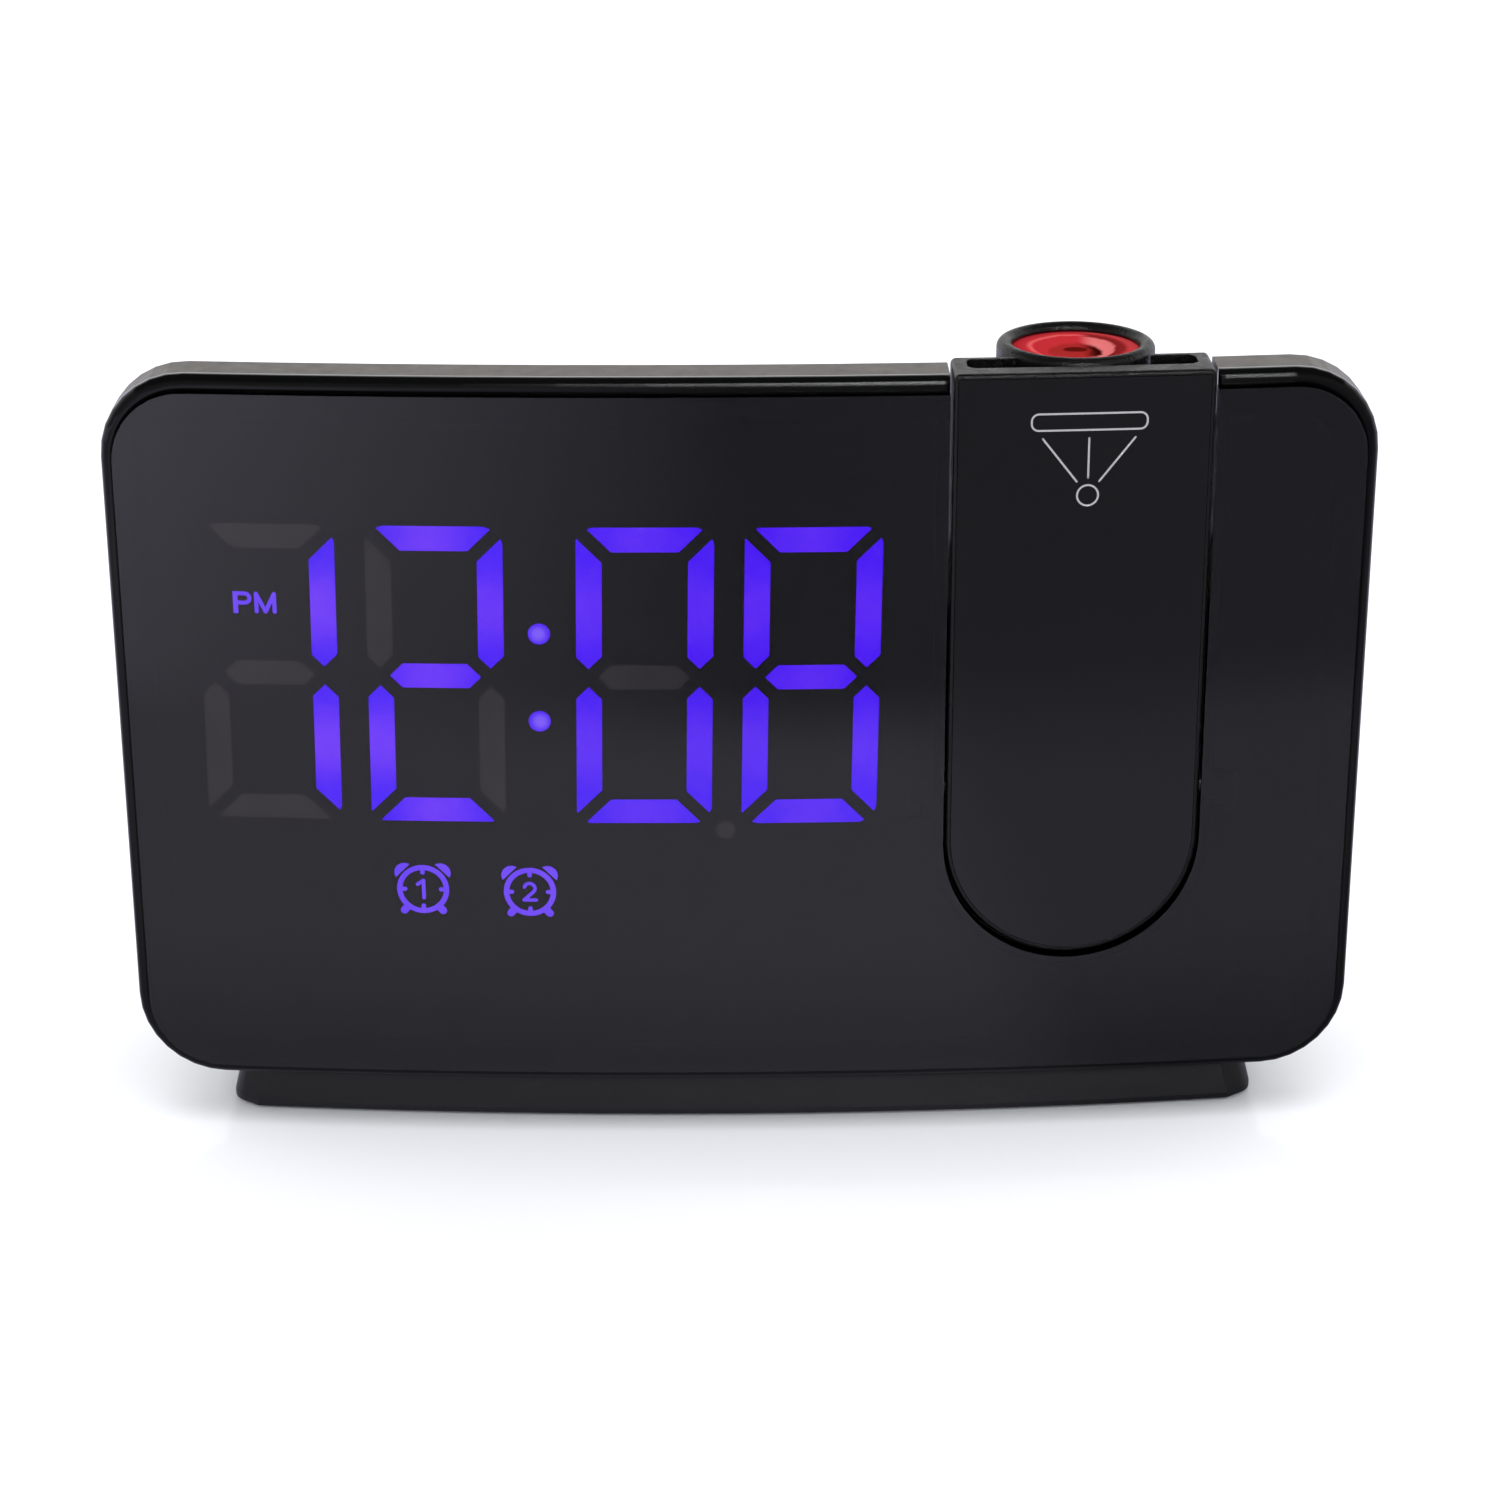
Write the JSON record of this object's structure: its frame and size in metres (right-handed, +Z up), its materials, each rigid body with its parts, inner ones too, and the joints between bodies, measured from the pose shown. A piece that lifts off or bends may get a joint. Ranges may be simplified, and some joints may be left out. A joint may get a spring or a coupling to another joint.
{
  "type": "projection alarm clock",
  "caption": "Table alarm clock with a curved tinted front, seven-segment display, folding projector arm with a tilting barrel, snooze bar, keys and loudspeaker.",
  "frame": {"origin": "on the table, in the middle of the clock's width and depth", "axes": "+X along the width to the side with the projector arm, +Y away from the display, +Z up"},
  "size_m": [0.182, 0.046, 0.1182],
  "materials": {
    "bezel": "gloss",
    "lens": "tinted gloss",
    "mask": "matte",
    "lit": "glowing",
    "unlit": "translucent",
    "light_box": "white reflector",
    "board": "solder mask",
    "lamp": "clear resin",
    "housing": "satin",
    "well": "matte",
    "stand": "satin",
    "rubber": "matte",
    "steel": "zinc plated",
    "cell": "polished",
    "clip": "nickel plated",
    "chips": "matte",
    "inlet": "matte",
    "pin": "polished",
    "basket": "satin",
    "cone": "coated paper",
    "magnet": "ferrite",
    "keys": "satin",
    "arm": "fine texture",
    "cover": "satin",
    "window": "red gloss",
    "optic": "polished"
  },
  "bodies": {
    "clock": {"front_bezel": "bezel", "display_lens": "lens", "display_mask": "mask", "lit_segments": "lit", "unlit_segments": "unlit", "light_box": "light_box", "display_board": "board", "led_chips": "lamp", "rear_shell": "housing", "rear_cover": "housing", "arm_well": "well", "stand": "stand", "rubber_feet": "rubber", "housing_screws": "steel", "stand_screws": "steel", "backup_cell": "cell", "cell_clip": "clip", "main_board": "board", "board_chips": "chips", "power_board": "board", "dc_jack": "inlet", "jack_pin": "pin", "speaker_basket": "basket", "speaker_cone": "cone", "speaker_magnet": "magnet", "key_board": "board", "key_switches": "chips"},
    "projector_arm": {"arm_frame": "arm", "arm_cover": "cover", "arm_hinge_pins": "steel"},
    "projector_barrel": {"barrel_front": "arm", "barrel_rear": "arm", "barrel_pivot_pins": "steel", "projector_window": "window", "projector_board": "board", "projector_led": "lamp", "time_slide": "optic"},
    "focus": {"focus_wheel": "keys", "focus_lens": "optic"},
    "snooze": {"snooze_bar": "keys"},
    "door": {"battery_door": "stand"},
    "key_alarm_1_body": {"key_alarm_1": "keys"},
    "key_alarm_2_body": {"key_alarm_2": "keys"},
    "key_clock_body": {"key_clock": "keys"},
    "key_down_body": {"key_down": "keys"},
    "key_up_body": {"key_up": "keys"},
    "key_projector_body": {"key_projector": "keys"}
  },
  "joints": [
    {"name": "arm_tilt", "type": "hinge", "parent": "clock", "child": "projector_arm", "pos_m": [0.0483, -0.01516, 0.0532], "axis": [1, 0, 0], "range_deg": [0, 90]},
    {"name": "barrel_tilt", "type": "hinge", "parent": "projector_arm", "child": "projector_barrel", "pos_m": [0.0483, -0.00606, 0.097], "axis": [-1, 0, 0], "range_deg": [0, 90]},
    {"name": "focus_turn", "type": "hinge", "parent": "projector_barrel", "child": "focus", "pos_m": [0.0483, -0.00606, 0.1097], "axis": [0, 0, 1], "range_deg": [-150, 150]},
    {"name": "snooze_press", "type": "slide", "parent": "clock", "child": "snooze", "axis": [0, 0, -1], "range_m": [0, 0.0008], "stiffness_N_per_m": 600, "springref_m": -0.0008},
    {"name": "battery_door_slide", "type": "slide", "parent": "clock", "child": "door", "axis": [0, 1, 0], "range_m": [0, 0.024]},
    {"name": "key_alarm_1_press", "type": "slide", "parent": "clock", "child": "key_alarm_1_body", "axis": [0, 0, -1], "range_m": [0, 0.0008], "stiffness_N_per_m": 300, "springref_m": -0.0008},
    {"name": "key_alarm_2_press", "type": "slide", "parent": "clock", "child": "key_alarm_2_body", "axis": [0, 0, -1], "range_m": [0, 0.0008], "stiffness_N_per_m": 300, "springref_m": -0.0008},
    {"name": "key_clock_press", "type": "slide", "parent": "clock", "child": "key_clock_body", "axis": [0, 0, -1], "range_m": [0, 0.0008], "stiffness_N_per_m": 300, "springref_m": -0.0008},
    {"name": "key_down_press", "type": "slide", "parent": "clock", "child": "key_down_body", "axis": [0, 0, -1], "range_m": [0, 0.0008], "stiffness_N_per_m": 300, "springref_m": -0.0008},
    {"name": "key_up_press", "type": "slide", "parent": "clock", "child": "key_up_body", "axis": [0, 0, -1], "range_m": [0, 0.0008], "stiffness_N_per_m": 300, "springref_m": -0.0008},
    {"name": "key_projector_press", "type": "slide", "parent": "clock", "child": "key_projector_body", "axis": [0, 0, -1], "range_m": [0, 0.0008], "stiffness_N_per_m": 300, "springref_m": -0.0008}
  ]
}
